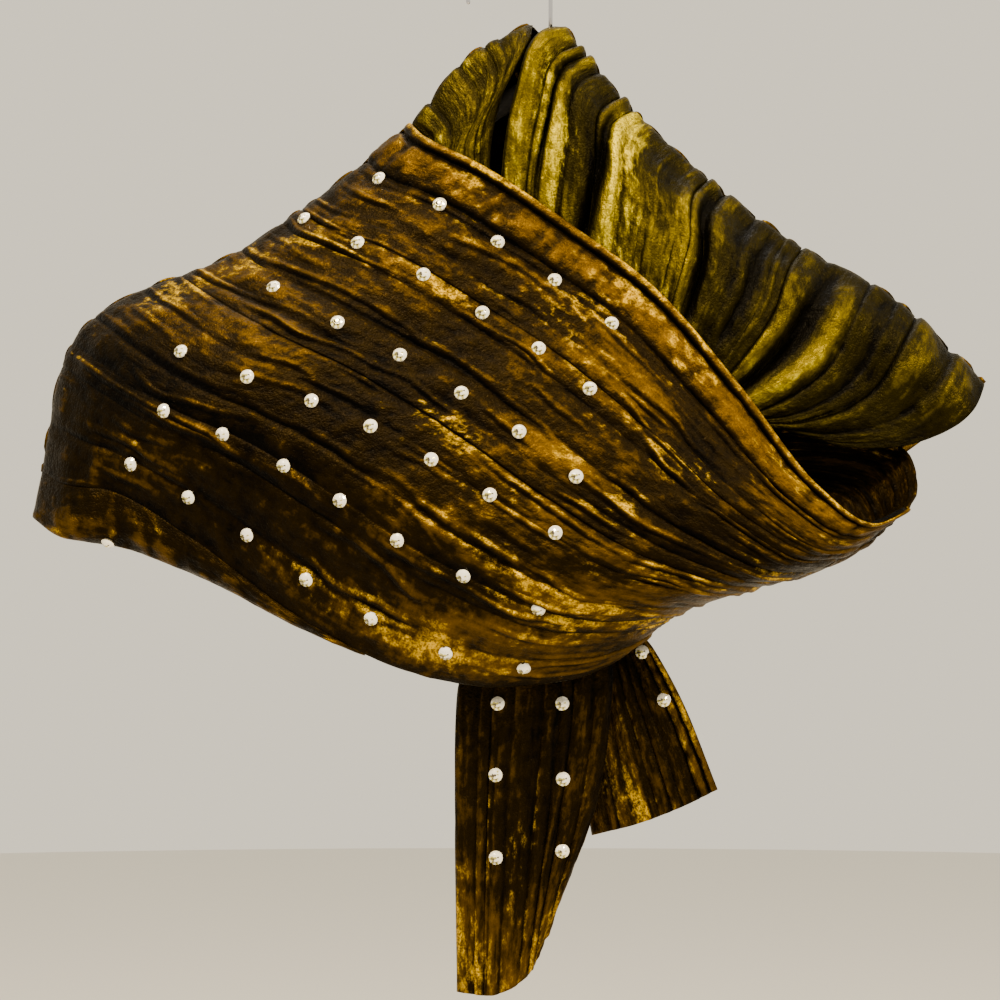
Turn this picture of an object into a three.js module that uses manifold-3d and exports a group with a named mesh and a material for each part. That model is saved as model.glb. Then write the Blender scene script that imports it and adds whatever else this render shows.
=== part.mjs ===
// An evening stole of crinkle-pleated velvet, wrapped over a coat hanger.
// Millimetres, +Z up, +X to the right of someone who looks at the front, which faces -Y.
// The origin is the inside top of the hanger's hook, the point that rests on a rail.
//
// The stole is one long strip. It comes over the right arm of the hanger from the back,
// gathers behind the front panel and ends in the front tail. From the right arm it also
// crosses the back to the left arm, comes over it as the front panel, turns back on itself
// in a loop at the right, and ends in the rear tail.
import * as THREE from "three";
import { mergeVertices } from "three/addons/utils/BufferGeometryUtils.js";
import Module from "manifold-3d";

const WALL = 2.4; // thickness of the double-faced velvet
const SEAM = 0.3; // gap between neighbouring pieces
const SEAM_INSET = 0.25; // how far an edge is drawn in from the line where two stretches meet
const GATHER = 0.3; // share of a stretch's length over which its pleats flatten to a gather
const BORDER_GAP = 1.1; // from the front panel's hem to the middle of the rolled border's edge

const PLEATS = 19; // crinkle pleats across the width of the strip
const NECK_PLEATS = 5; // those of them that fold forward at the neck, above the front panel
const TAIL_PLEATS = 8; // pleats across a tail, where the strip lies folded together
const UNEVEN = 0.3; // how far a pleat's edge strays, as a share of a pleat
const PLEAT_ROOM = 20; // a pleat is at most its width squared over this deep, in millimetres

const WIRE = 2.2; // diameter of the hook's wire
const HOOK_RADIUS = 22; // of the wire's centre line
const HOOK_SWEEP = Math.PI + 0.2; // how far the hook bends round, in radians
const STEM_FOOT = -70; // lower end of the stem, inside the neck of the hanger
const WIRE_SIDES = 8;
const HOOK_STEPS = 26; // along the wire
const BAR = { width: 9, height: 11 }; // section of an arm
const APEX = [22, 0, -63]; // where the two arms meet
const ARM_TIPS = { left: [-194, 0, -204], right: [226, 0, -239] };
const NECK = { radius: 5.5, top: -54, foot: -70 };
const NECK_SIDES = 16;
const ARM_SIDES = 12;
const BORE_TOP = -40; // the tool that bores the neck for the stem ends above it

const VELVET_FACE = { color: 0x6b4a12, roughness: 0.75, metalness: 0 };
const VELVET_REVERSE = { color: 0x7c6318, roughness: 0.75, metalness: 0 };
const CHROME = { color: 0xc8c8cc, roughness: 0.2, metalness: 1 };
const PAINT = { color: 0x2a2622, roughness: 0.5, metalness: 0 };

// A smooth curve through vectors at uneven knots. Its slope at an inner knot weighs the two
// chords by the other one's length, and at an end it is the chord's or the one given.
function curveAt(knots, points, u, startSlope, endSlope) {
  const last = points.length - 1;
  let k = 0;
  while (k < last - 1 && u > knots[k + 1]) k++;
  const chord = (i) =>
    points[i + 1].clone().sub(points[i]).divideScalar(knots[i + 1] - knots[i]);
  const slope = (i) => {
    if (i === 0) return startSlope ?? chord(0);
    if (i === last) return endSlope ?? chord(last - 1);
    const before = knots[i] - knots[i - 1];
    const after = knots[i + 1] - knots[i];
    return chord(i - 1)
      .multiplyScalar(after)
      .add(chord(i).multiplyScalar(before))
      .divideScalar(before + after);
  };
  const h = knots[k + 1] - knots[k];
  const x = (u - knots[k]) / h;
  return points[k]
    .clone()
    .multiplyScalar((1 + 2 * x) * (1 - x) ** 2)
    .addScaledVector(slope(k), h * x * (1 - x) ** 2)
    .addScaledVector(points[k + 1], x * x * (3 - 2 * x))
    .addScaledVector(slope(k + 1), h * x * x * (x - 1));
}

const vectors = (list) => list.map((p) => new THREE.Vector3(...p));

// A line across the strip, through a few points at the given shares of its width.
function lineAcross(shares, points) {
  const through = vectors(points);
  return (t) => curveAt(shares, through, t);
}

// Where pleat k of a number of pleats begins, as a share of the width.
function pleatEdge(k, count = PLEATS) {
  const stray = k === 0 || k === count ? 0 : UNEVEN * Math.sin(1.7 * k + 0.6);
  return (k + stray) / count;
}

// How far the cloth stands out at a share of the width, from -0.6 in a crease to 0.4 on a
// crest. Every third or fourth pleat is a deep one.
function pleatHeight(t, count = PLEATS) {
  let k = 0;
  while (k < count - 1 && t >= pleatEdge(k + 1, count)) k++;
  const begin = pleatEdge(k, count);
  const x = (t - begin) / (pleatEdge(k + 1, count) - begin);
  const size = 0.72 + 0.28 * Math.sin(2.9 * k + 1);
  return size * (Math.sin(Math.PI * Math.min(1, Math.max(0, x))) - 0.6);
}

const CORNER = pleatEdge(NECK_PLEATS); // the front panel's upper edge at the left arm

// The two lines where the cloth passes over the arms, from the neck outwards.
const leftRidge = lineAcross(
  [0, 0.13, CORNER, 0.4, 0.58, 0.86, 1],
  [
    [12, 0, -37],
    [-22, 0, -55],
    [-52, 0, -90],
    [-90, 0, -121],
    [-140, 0, -156],
    [-233, 0, -210],
    [-247, 0, -274],
  ],
);
const rightRidge = lineAcross(
  [0, 0.33, 0.67, 0.84, 1],
  [
    [28, 0, -38],
    [77, 0, -94],
    [154, 0, -155],
    [203, 0, -182],
    [252, 0, -227],
  ],
);

// Each stretch of the strip is a table with a row for each section. at is the row's share
// of the stretch's length. The other columns are points across the width, at the shares
// that across gives, from the edge nearest the neck to the other one. from and to are the
// first and last pleat edges that it takes in, of count in all, and depth is how deep they are.
// steps and fine are the grid steps along the stretch and across one pleat. A mirrored
// stretch has its first edge at the left of someone who looks at its outer side.
const frontPanel = {
  across: [0, 0.4, 0.8, 1],
  from: NECK_PLEATS,
  to: PLEATS,
  begins: {
    section: (t) => leftRidge(CORNER + (1 - CORNER) * t),
    slope: [[0, -340, 0], [0, -340, 0]],
    next: { at: 0.05, by: [[6, -14, -7], [9, -15, -5]] },
  },
  ends: { slope: [[0, 300, 0], [0, 300, 0]] },
  steps: 13,
  fine: 4,
  rows: [
    {at: 0.17, rim: [-13, -26, -115], high: [-88, -42, -178], low: [-186, -46, -238], hem: [-206, -30, -285]},
    {at: 0.33, rim: [32, -34, -146], high: [-39, -57, -205], low: [-137, -62, -260], hem: [-161, -41, -312]},
    {at: 0.5, rim: [77, -43, -181], high: [8, -69, -236], low: [-87, -74, -290], hem: [-111, -51, -348]},
    {at: 0.67, rim: [119, -54, -231], high: [55, -78, -272], low: [-34, -80, -324], hem: [-55, -55, -376]},
    {at: 0.83, rim: [159, -64, -283], high: [100, -82, -305], low: [27, -78, -349], hem: [3, -52, -385]},
    {at: 0.94, rim: [188, -62, -301], high: [140, -70, -324], low: [72, -63, -350], hem: [48, -46, -376]},
    {at: 1, rim: [207, -46, -293], high: [160, -46, -324], low: [87, -40, -347], hem: [68, -33, -362]},
  ],
  depth: 4,
  finish: VELVET_FACE,
};
const sideLoop = {
  across: [0, 0.4, 0.8, 1],
  from: NECK_PLEATS,
  to: PLEATS,
  begins: { slope: [[0, 90, 0], [0, 90, 0]] },
  ends: { slope: [[-280, 0, -120], [-14, 0, -8]] },
  steps: 6,
  fine: 4,
  rows: [
    {at: 0, rim: [207, -46, -293], high: [160, -46, -324], low: [87, -40, -347], hem: [68, -33, -362]},
    {at: 0.3, rim: [213, -27, -279], high: [180, -22, -312], low: [96, -20, -340], hem: [72, -19, -356]},
    {at: 0.5, rim: [207, -8, -262], high: [170, -1, -292], low: [94, -6, -332], hem: [75, -11, -349]},
    {at: 1, rim: [66, -1, -268], high: [66, -3, -298], low: [68, -8, -334], hem: [69, -12, -348]},
  ],
  depth: 2.5,
  gathered: { ends: true },
  finish: VELVET_FACE,
};
const rearTail = {
  across: [0, 0.4, 0.8, 1],
  from: 0,
  to: TAIL_PLEATS,
  count: TAIL_PLEATS,
  begins: { slope: [[-112, 0, -48], [-5.6, 0, -3.2]] },
  steps: 8,
  fine: 4,
  rows: [
    {at: 0, left: [66, -1, -268], inner: [66, -3, -298], outer: [68, -8, -334], right: [69, -12, -348]},
    {at: 0.25, left: [38, -6, -308], inner: [45, -9, -324], outer: [57, -12, -345], right: [66, -14, -356]},
    {at: 0.5, left: [32, -14, -371], inner: [49, -14, -370], outer: [67, -14, -368], right: [76, -15, -368]},
    {at: 0.75, left: [37, -15, -424], inner: [59, -17, -417], outer: [82, -18, -405], right: [92, -17, -398]},
    {at: 1, left: [44, -17, -465], inner: [70, -19, -458], outer: [97, -20, -447], right: [109, -19, -441]},
  ],
  depth: 2,
  gathered: { begins: true },
  mirrored: true,
  finish: VELVET_FACE,
};
const rightShoulder = {
  across: [0, 0.33, 0.67, 1],
  from: 0,
  to: PLEATS,
  begins: {
    section: rightRidge,
    slope: [[0, -217, 0], [0, -217, 0]],
    next: { at: 0.06, by: [[-9, -9, -3], [-4, -11, -9]] },
  },
  ends: { slope: [[0, -5, -180], [-100, 0, -130]] },
  steps: 8,
  fine: 4,
  rows: [
    {at: 0.3, neck: [3, -15, -77], inner: [65, -23, -133], outer: [136, -26, -192], cuff: [220, -15, -257]},
    {at: 0.55, neck: [-4, -16, -125], inner: [59, -25, -178], outer: [112, -30, -225], cuff: [178, -22, -261]},
    {at: 0.75, neck: [-2, -17, -160], inner: [52, -25, -207], outer: [92, -30, -244], cuff: [134, -24, -252]},
    {at: 1, neck: [3, -18, -199], inner: [38, -24, -232], outer: [70, -28, -262], cuff: [97, -26, -292]},
  ],
  depth: 5,
  gathered: { ends: true },
  mirrored: true,
  finish: VELVET_REVERSE,
};
const frontTail = {
  across: [0, 0.33, 0.67, 1],
  from: 0,
  to: TAIL_PLEATS,
  count: TAIL_PLEATS,
  begins: { slope: [[0, -8, -288], [-160, 0, -208]] },
  steps: 11,
  fine: 4,
  rows: [
    {at: 0, left: [3, -18, -199], inner: [38, -24, -232], outer: [70, -28, -262], right: [97, -26, -292]},
    {at: 0.2, left: [-2, -24, -262], inner: [22, -27, -278], outer: [50, -29, -298], right: [74, -27, -318]},
    {at: 0.4, left: [-15, -28, -331], inner: [6, -30, -336], outer: [28, -31, -342], right: [52, -29, -350]},
    {at: 0.55, left: [-26, -29, -384], inner: [1, -32, -386], outer: [30, -32, -386], right: [54, -30, -383]},
    {at: 0.75, left: [-28, -29, -448], inner: [-3, -33, -449], outer: [24, -33, -449], right: [46, -30, -445]},
    {at: 1, left: [-27, -28, -546], inner: [-7, -31, -547], outer: [11, -31, -535], right: [22, -28, -509]},
  ],
  depth: 2,
  gathered: { begins: true },
  mirrored: true,
  finish: VELVET_FACE,
};
const neckFold = {
  across: [0, 0.5, 1],
  from: 0,
  to: NECK_PLEATS,
  begins: {
    section: (t) => leftRidge(CORNER * t),
    slope: [[0, -67, 0], [0, -67, 0]],
  },
  steps: 6,
  fine: 4,
  rows: [
    {at: 0.12, edge: [11, -8, -44], middle: [-15, -7, -69], outer: [-43, -6, -99]},
    {at: 0.5, edge: [-6, -11, -81], middle: [-22, -12, -103], outer: [-37, -10, -122]},
    {at: 1, edge: [-12, -12, -130], middle: [-21, -13, -138], outer: [-30, -11, -143]},
  ],
  depth: 3,
  finish: VELVET_REVERSE,
};
const backStretch = {
  across: [0, 0.33, 0.67, 1],
  from: 0,
  to: PLEATS,
  begins: {
    section: rightRidge,
    slope: [[0, 240, 0], [0, 240, 0]],
    next: { at: 0.05, by: [[-4, 9, -2], [-6, 12, -9]] },
  },
  ends: {
    section: leftRidge,
    slope: [[0, -240, 0], [0, -240, 0]],
    next: { at: 0.95, by: [[3, 9, -2], [8, 12, -5]] },
  },
  steps: 12,
  fine: 3,
  rows: [
    {at: 0.25, neck: [25, 12, -42], high: [48, 27, -143], low: [96, 34, -228], hem: [154, 25, -299]},
    {at: 0.5, neck: [20, 14, -43], high: [11, 30, -164], low: [2, 41, -262], hem: [-5, 33, -348]},
    {at: 0.75, neck: [15, 12, -42], high: [-37, 27, -143], low: [-100, 40, -236], hem: [-145, 27, -315]},
  ],
  depth: 4,
  finish: VELVET_FACE,
};

// The row next to the line where a stretch passes over an arm: the line itself, moved by one
// step at its first edge and by another at its last.
function movedSection({ section, next }) {
  const [first, last] = vectors(next.by);
  return { at: next.at, section: (t) => section(t).add(first.clone().lerp(last, t)) };
}

// The middle surface of a stretch without its pleats, as a function of length and width.
function smoothSurface(stretch) {
  const rows = stretch.rows.map(({ at, ...points }) => ({
    at,
    section: lineAcross(stretch.across, Object.values(points)),
  }));
  const { begins, ends } = stretch;
  if (begins?.next) rows.unshift(movedSection(begins));
  if (ends?.next) rows.push(movedSection(ends));
  if (begins?.section) rows.unshift({ at: 0, section: begins.section });
  if (ends?.section) rows.push({ at: 1, section: ends.section });
  const knots = rows.map((row) => row.at);
  const slopeAt = (end, t) => {
    if (!end) return undefined;
    const [first, last] = vectors(end.slope);
    return first.lerp(last, t);
  };
  return (s, t) => {
    const line = rows.map((row) => row.section(t));
    return curveAt(knots, line, s, slopeAt(begins, t), slopeAt(ends, t));
  };
}

// The unit vector along a surface's length at a place on it.
function alongAt(surface, s, t) {
  const step = 0.002;
  return surface(Math.min(1, s + step), t).sub(surface(Math.max(0, s - step), t)).normalize();
}

// How a place on a surface moves across its width, in millimetres for the whole width.
function acrossAt(surface, s, t) {
  const step = 0.004;
  const low = Math.max(0, t - step);
  const high = Math.min(1, t + step);
  return surface(s, high).sub(surface(s, low)).divideScalar(high - low);
}

// The pleated middle surface as rows of points, one row for each step along the length, with
// the direction along the length and the smooth surface's square one at each point. All four
// edges are drawn in a little from the neighbouring stretch.
function pleatedGrid(stretch) {
  const { from, to, fine, steps, count = PLEATS } = stretch;
  const surface = smoothSurface(stretch);
  const first = pleatEdge(from, count);
  const width = pleatEdge(to, count) - first;
  const shares = [];
  const pleats = [];
  for (let k = from; k < to; k++) {
    const begin = pleatEdge(k, count);
    const pleat = pleatEdge(k + 1, count) - begin;
    for (let i = 0; i < fine; i++) {
      shares.push(begin + (i / fine) * pleat);
      pleats.push(pleat / width);
    }
  }
  shares.push(pleatEdge(to, count));
  pleats.push(pleats.at(-1));
  const inset = (i, last) => (i === 0 ? SEAM_INSET : i === last ? -SEAM_INSET : 0);
  const points = [];
  const along = [];
  const square = [];
  for (let j = 0; j <= steps; j++) {
    const s = j / steps;
    const places = shares.map((share) => (share - first) / width);
    along.push(places.map((t) => alongAt(surface, s, t)));
    const across = places.map((t) => acrossAt(surface, s, t));
    square.push(across.map((v, i) => v.clone().cross(along[j][i])));
    const depths = square[j].map((v, i) =>
      Math.min(pleatDepth(stretch, s), (v.length() * pleats[i]) ** 2 / PLEAT_ROOM),
    );
    const side = stretch.mirrored ? -1 : 1;
    points.push(
      places.map((t, i) =>
        surface(s, t)
          .addScaledVector(square[j][i].normalize(), side * depths[i] * pleatHeight(shares[i], count))
          .addScaledVector(along[j][i], inset(j, steps))
          .addScaledVector(across[i].normalize(), inset(i, places.length - 1)),
      ),
    );
  }
  return { points, along, square };
}

// The depth of a stretch's pleats along its length. They flatten out towards an end where
// the strip is gathered.
function pleatDepth({ depth, gathered = {} }, s) {
  const grow = (x) => THREE.MathUtils.smoothstep(x, 0, GATHER);
  return depth * (gathered.begins ? grow(s) : 1) * (gathered.ends ? grow(1 - s) : 1);
}

// The lower border at the left, rolled under along the front panel's hem: a trough that
// hangs from the hem and comes up behind it. drop is its height, swell how far it stands out
// in front, tuck how far back it reaches and lean how far it leans outwards, at the panel's
// grid rows from the left arm on.
const BORDER = [
  { drop: 24, swell: 3, tuck: 6, lean: 5 },
  { drop: 28, swell: 4, tuck: 16, lean: 2 },
  { drop: 29, swell: 4, tuck: 23, lean: 0 },
  { drop: 25, swell: 4, tuck: 25, lean: 0 },
  { drop: 19, swell: 3, tuck: 25, lean: 0 },
  { drop: 13, swell: 3, tuck: 22, lean: 0 },
  { drop: 8, swell: 2, tuck: 17, lean: 0 },
  { drop: 5, swell: 2, tuck: 13, lean: 0 },
  { drop: 3, swell: 1.5, tuck: 9, lean: 0 },
];
const BORDER_STEPS = 10;
const BORDER_CRINKLE = 1.2;

function borderGrid() {
  const hem = pleatedGrid(frontPanel).points.map((row) => row.at(-1));
  const points = BORDER.map(({ drop, swell, tuck, lean }, j) =>
    Array.from({ length: BORDER_STEPS + 1 }, (_, i) => {
      const turn = (i / BORDER_STEPS) * Math.PI;
      const crinkle = BORDER_CRINKLE * Math.sin(2.4 * i + 0.9 * j) * Math.sin(turn);
      return new THREE.Vector3(
        -lean * Math.sin(turn),
        (tuck * (1 - Math.cos(turn))) / 2 - (swell + crinkle) * Math.sin(turn),
        -BORDER_GAP - drop * Math.sin(turn),
      ).add(hem[j]);
    }),
  );
  const along = points.map((row, j) =>
    row.map((_, i) => {
      const next = points[Math.min(j + 1, points.length - 1)][i];
      return next.clone().sub(points[Math.max(j - 1, 0)][i]).normalize();
    }),
  );
  return { points, along };
}

// A closed wall of even thickness on both sides of a grid of points.
function wall({ points, along, square }, thickness) {
  const rows = points.length;
  const columns = points[0].length;
  const normals = points.map((row, j) =>
    row.map((_, i) => {
      if (square && (i === 0 || i === columns - 1)) return square[j][i];
      const across = row[Math.min(i + 1, columns - 1)].clone().sub(row[Math.max(i - 1, 0)]);
      return across.cross(along[j][i]).normalize();
    }),
  );
  const positions = [];
  for (const side of [0.5, -0.5]) {
    points.forEach((row, j) =>
      row.forEach((p, i) => {
        const q = p.clone().addScaledVector(normals[j][i], side * thickness);
        positions.push(q.x, q.y, q.z);
      }),
    );
  }
  const index = [];
  const at = (j, i, layer) => layer * rows * columns + j * columns + i;
  const quad = (a, b, c, d) => index.push(a, b, c, a, c, d);
  for (let j = 0; j < rows - 1; j++) {
    for (let i = 0; i < columns - 1; i++) {
      quad(at(j, i, 0), at(j, i + 1, 0), at(j + 1, i + 1, 0), at(j + 1, i, 0));
      quad(at(j, i, 1), at(j + 1, i, 1), at(j + 1, i + 1, 1), at(j, i + 1, 1));
    }
  }
  for (let j = 0; j < rows - 1; j++) {
    quad(at(j, 0, 0), at(j + 1, 0, 0), at(j + 1, 0, 1), at(j, 0, 1));
    quad(at(j, columns - 1, 0), at(j, columns - 1, 1), at(j + 1, columns - 1, 1), at(j + 1, columns - 1, 0));
  }
  for (let i = 0; i < columns - 1; i++) {
    quad(at(0, i, 0), at(0, i, 1), at(0, i + 1, 1), at(0, i + 1, 0));
    quad(at(rows - 1, i, 0), at(rows - 1, i + 1, 0), at(rows - 1, i + 1, 1), at(rows - 1, i, 1));
  }
  const geometry = new THREE.BufferGeometry();
  geometry.setAttribute("position", new THREE.Float32BufferAttribute(positions, 3));
  geometry.setIndex(index);
  return geometry;
}

const wasm = await Module();
wasm.setup();

// A closed geometry as a solid that can be joined and cut.
function solidOf(geometry) {
  const bare = geometry.clone();
  bare.deleteAttribute("normal");
  bare.deleteAttribute("uv");
  const merged = mergeVertices(bare);
  return new wasm.Manifold(
    new wasm.Mesh({
      numProp: 3,
      vertProperties: merged.attributes.position.array,
      triVerts: new Uint32Array(merged.index.array),
    }),
  );
}

function geometryOf(solid) {
  const { numProp, vertProperties, triVerts } = solid.getMesh();
  const positions = [];
  for (let i = 0; i < vertProperties.length; i += numProp) {
    positions.push(vertProperties[i], vertProperties[i + 1], vertProperties[i + 2]);
  }
  const geometry = new THREE.BufferGeometry();
  geometry.setAttribute("position", new THREE.Float32BufferAttribute(positions, 3));
  geometry.setIndex(Array.from(triVerts));
  return geometry;
}

function circle(radius, sides) {
  const shape = new THREE.Shape();
  shape.absarc(0, 0, radius, 0, 2 * Math.PI);
  return new THREE.Shape(shape.getPoints(sides).slice(0, -1));
}

// The hook's line: up the stem, then over the rail in a little more than half a circle. A
// share of 0 is the stem's foot and 1 the open end.
class HookLine extends THREE.Curve {
  getPoint(share, target = new THREE.Vector3()) {
    const centre = WIRE / 2 - HOOK_RADIUS;
    const straight = centre - STEM_FOOT;
    const bend = HOOK_SWEEP * HOOK_RADIUS;
    const distance = share * (straight + bend);
    if (distance <= straight) return target.set(HOOK_RADIUS, 0, STEM_FOOT + distance);
    const angle = (distance - straight) / HOOK_RADIUS;
    return target.set(
      HOOK_RADIUS * Math.cos(angle),
      0,
      centre + HOOK_RADIUS * Math.sin(angle),
    );
  }
}

function hookWire() {
  return new THREE.ExtrudeGeometry(circle(WIRE / 2, WIRE_SIDES), {
    steps: HOOK_STEPS,
    bevelEnabled: false,
    extrudePath: new HookLine(),
  });
}

// An arm of the hanger: a rounded bar from the neck to its tip.
function arm(tip) {
  const end = new THREE.Vector3(...tip);
  const start = new THREE.Vector3(...APEX);
  const length = end.distanceTo(start);
  const points = circle(1, ARM_SIDES)
    .getPoints()
    .map((p) => new THREE.Vector2((p.x * BAR.height) / 2, (p.y * BAR.width) / 2));
  const geometry = new THREE.ExtrudeGeometry(new THREE.Shape(points), {
    depth: length,
    bevelEnabled: false,
  });
  const along = end.clone().sub(start).normalize();
  const sideways = new THREE.Vector3(0, 1, 0);
  const up = sideways.clone().cross(along).normalize();
  geometry.applyMatrix4(new THREE.Matrix4().makeBasis(up, sideways, along).setPosition(start));
  return geometry;
}

// An upright cylinder through the stem's line.
function uprightPost(radius, foot, top, sides) {
  const geometry = new THREE.CylinderGeometry(radius, radius, top - foot, sides);
  geometry.rotateX(Math.PI / 2);
  geometry.translate(HOOK_RADIUS, 0, (top + foot) / 2);
  return solidOf(geometry);
}

// Both arms and the neck that holds the stem, in one piece.
function hangerBar() {
  const arms = solidOf(arm(ARM_TIPS.left)).add(solidOf(arm(ARM_TIPS.right)));
  const neck = uprightPost(NECK.radius, NECK.foot, NECK.top, NECK_SIDES);
  const bore = uprightPost(WIRE / 2 + SEAM, STEM_FOOT - SEAM, BORE_TOP, ARM_SIDES);
  return geometryOf(arms.add(neck).subtract(bore));
}

const stole = new THREE.Group();

function addPart(name, geometry, finish) {
  const mesh = new THREE.Mesh(geometry, new THREE.MeshStandardMaterial(finish));
  mesh.name = name;
  stole.add(mesh);
}

function addStretch(name, stretch) {
  addPart(name, wall(pleatedGrid(stretch), WALL), stretch.finish);
}

addStretch("front_panel", frontPanel);
addStretch("side_loop", sideLoop);
addStretch("rear_tail", rearTail);
addStretch("right_shoulder", rightShoulder);
addStretch("front_tail", frontTail);
addStretch("neck_fold", neckFold);
addStretch("back_stretch", backStretch);
addPart("turned_border", wall(borderGrid(), WALL), VELVET_FACE);
addPart("hanger_hook", hookWire(), CHROME);
addPart("hanger_bar", hangerBar(), PAINT);

export default stole;
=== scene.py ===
"""An evening stole of crushed, crinkle-pleated velvet, wrapped over a wire-hook coat hanger.

Sizes are in millimetres in the tables and in metres in the meshes. +Z is up, the front faces
-Y, and the origin is the inside top of the hanger's hook. The stole is one long strip: its
stretches share one set of pleats, numbered across the strip from the neck edge outwards.
"""

from __future__ import annotations

import logging
import math
from dataclasses import dataclass, field
from enum import Enum
from typing import Any, Callable, Optional

import bmesh
import bpy
import numpy as np
from mathutils import Matrix, Vector

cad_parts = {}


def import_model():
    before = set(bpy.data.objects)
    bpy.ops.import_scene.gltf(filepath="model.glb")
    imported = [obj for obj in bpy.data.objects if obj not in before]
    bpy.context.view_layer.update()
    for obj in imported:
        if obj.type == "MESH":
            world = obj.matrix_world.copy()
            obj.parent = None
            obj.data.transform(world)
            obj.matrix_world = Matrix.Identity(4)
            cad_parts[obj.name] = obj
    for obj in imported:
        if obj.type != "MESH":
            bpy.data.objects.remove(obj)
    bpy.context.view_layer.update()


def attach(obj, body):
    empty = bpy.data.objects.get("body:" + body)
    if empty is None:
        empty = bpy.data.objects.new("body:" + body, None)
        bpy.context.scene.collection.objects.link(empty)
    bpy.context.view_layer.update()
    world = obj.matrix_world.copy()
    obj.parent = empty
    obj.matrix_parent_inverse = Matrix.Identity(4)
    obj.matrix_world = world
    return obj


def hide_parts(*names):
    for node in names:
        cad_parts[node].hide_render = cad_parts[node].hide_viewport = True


LOG = logging.getLogger("stole")

MM = 0.001
CLOTH_MM = 1.6
# The relief over which the painted shade and light in the velvet's colour run, from the deepest crease to
# the highest ridge.
RELIEF_SPAN = 8.0
STRIP_WIDTH = 290.0
TAIL_WIDTH = 90.0
PLEATS = 19
NECK_PLEATS = 5
TAIL_PLEATS = 8
# How far a pleat's edge strays, as a share of a pleat.
UNEVEN = 0.3
# Shares of a stretch's length over which its pleats flatten into a gather, or start out low.
GATHER = 0.3
CALM_SHARE = 0.12
# The crumples die away within this distance of a seam, so that a stretch meets its neighbour.
QUIET_MM = 9.0
# How many points a stretch's length is measured through.
LENGTH_POINTS = 60

# A pleat's size, where a stretch doesn't give its own, is this much give or take.
PLEAT_MIDDLE = 0.72
PLEAT_SPREAD = 0.28

# Across a pleat: the share taken by a knife pleat's steep side, how far its other side falls,
# how square a rounded pleat is, and the level of the profile that lies on the smooth surface.
STEEP_SIDE = 0.14
KNIFE_FALL = 0.8
ROUNDNESS = 0.7
LEVEL = 0.6

# The thin raised lines that are pressed between the pleats: half their width, how peaked they
# are, and the crease that runs beside each.
LINE_SEATS = (17, 29, 53)
LINE_HALF = 0.85
LINE_PEAK = 1.4
CREASE_ASIDE = 2.2
CREASE_HALF = 1.3
CREASE_DEPTH = 0.45

# The border band's parts, as heights and widths in millimetres.
RIM_MM = 4.0
RIM_HEIGHT = 1.5
BAND_SWELL = 1.5
BAND_GROUND = 0.6
STITCH_DEPTH = 1.8
STITCH_HALF = 1.5
RIM_GROOVE_DEPTH = 1.3
RIM_GROOVE_HALF = 1.4
BAND_SEED = 50

# Painted light and shade: how much lighter a rising slope, the band and its rim are painted, and how much
# painted shade lies in the rim's groove.
SLOPE_GAIN = 1.1
BAND_LIT = 0.1
RIM_LIT = 0.2
GROOVE_UNLIT = 0.5

Point = tuple[float, float, float]
Grid = np.ndarray


class Side(Enum):
    """Which side of the double-faced velvet a stretch shows outwards."""

    FACE = "velvet_face"
    REVERSE = "velvet_reverse"


def linear(hex_colour: str) -> tuple[float, float, float, float]:
    """Turn an sRGB hex colour to the linear one that a shader takes.

    Args:
        hex_colour: six hex digits after a hash sign.

    Returns:
        Linear red, green, blue and an alpha of 1.
    """
    parts = [int(hex_colour[i : i + 2], 16) / 255 for i in (1, 3, 5)]
    made = [c / 12.92 if c <= 0.04045 else ((c + 0.055) / 1.055) ** 2.4 for c in parts]
    return (made[0], made[1], made[2], 1.0)


def add_node(
    tree: bpy.types.NodeTree, kind: str, inputs: dict[Any, Any], **settings: Any
) -> bpy.types.Node:
    """Add a shader node with its settings, its inputs' values and their links.

    Args:
        tree: the material's node tree.
        kind: the node's type name.
        inputs: a value, or another node's output socket, for each input's name or number.
        **settings: the node's own properties.

    Returns:
        The new node.
    """
    node = tree.nodes.new(kind)
    for name, value in settings.items():
        setattr(node, name, value)
    for name, value in inputs.items():
        if isinstance(value, bpy.types.NodeSocket):
            tree.links.new(value, node.inputs[name])
        else:
            node.inputs[name].default_value = value
    return node


def new_material(name: str) -> bpy.types.Material:
    """Make a material with an empty node tree."""
    material = bpy.data.materials.new(name)
    material.use_nodes = True
    material.node_tree.nodes.clear()
    return material


def ease(x: Grid) -> Grid:
    """Ease a value from 0 to 1 with no slope at either end."""
    x = np.clip(x, 0.0, 1.0)
    return x * x * (3 - 2 * x)


def curve_at(
    knots: Any, values: Grid, at: Grid, start: Optional[Grid] = None, end: Optional[Grid] = None
) -> Grid:
    """Follow a smooth curve through values at uneven knots.

    Args:
        knots: the places of the values, rising.
        values: one row of points for each knot, as (knots, points, 3).
        at: the places to read.
        start: the slope at the first knot, or None for its chord.
        end: the slope at the last knot, or None for its chord.

    Returns:
        The points at each place, as (places, points, 3).
    """
    knots = np.asarray(knots, float)
    spans = np.diff(knots)[:, None, None]
    chords = np.diff(values, axis=0) / spans
    slopes = np.empty_like(values)
    slopes[0] = chords[0] if start is None else start
    slopes[-1] = chords[-1] if end is None else end
    slopes[1:-1] = (chords[:-1] * spans[1:] + chords[1:] * spans[:-1]) / (spans[:-1] + spans[1:])
    k = np.clip(np.searchsorted(knots, at) - 1, 0, len(spans) - 1)
    h = spans[k]
    x = (at - knots[k])[:, None, None] / h
    return (
        values[k] * (1 + 2 * x) * (1 - x) ** 2
        + slopes[k] * h * x * (1 - x) ** 2
        + values[k + 1] * x * x * (3 - 2 * x)
        + slopes[k + 1] * h * x * x * (x - 1)
    )


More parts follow.
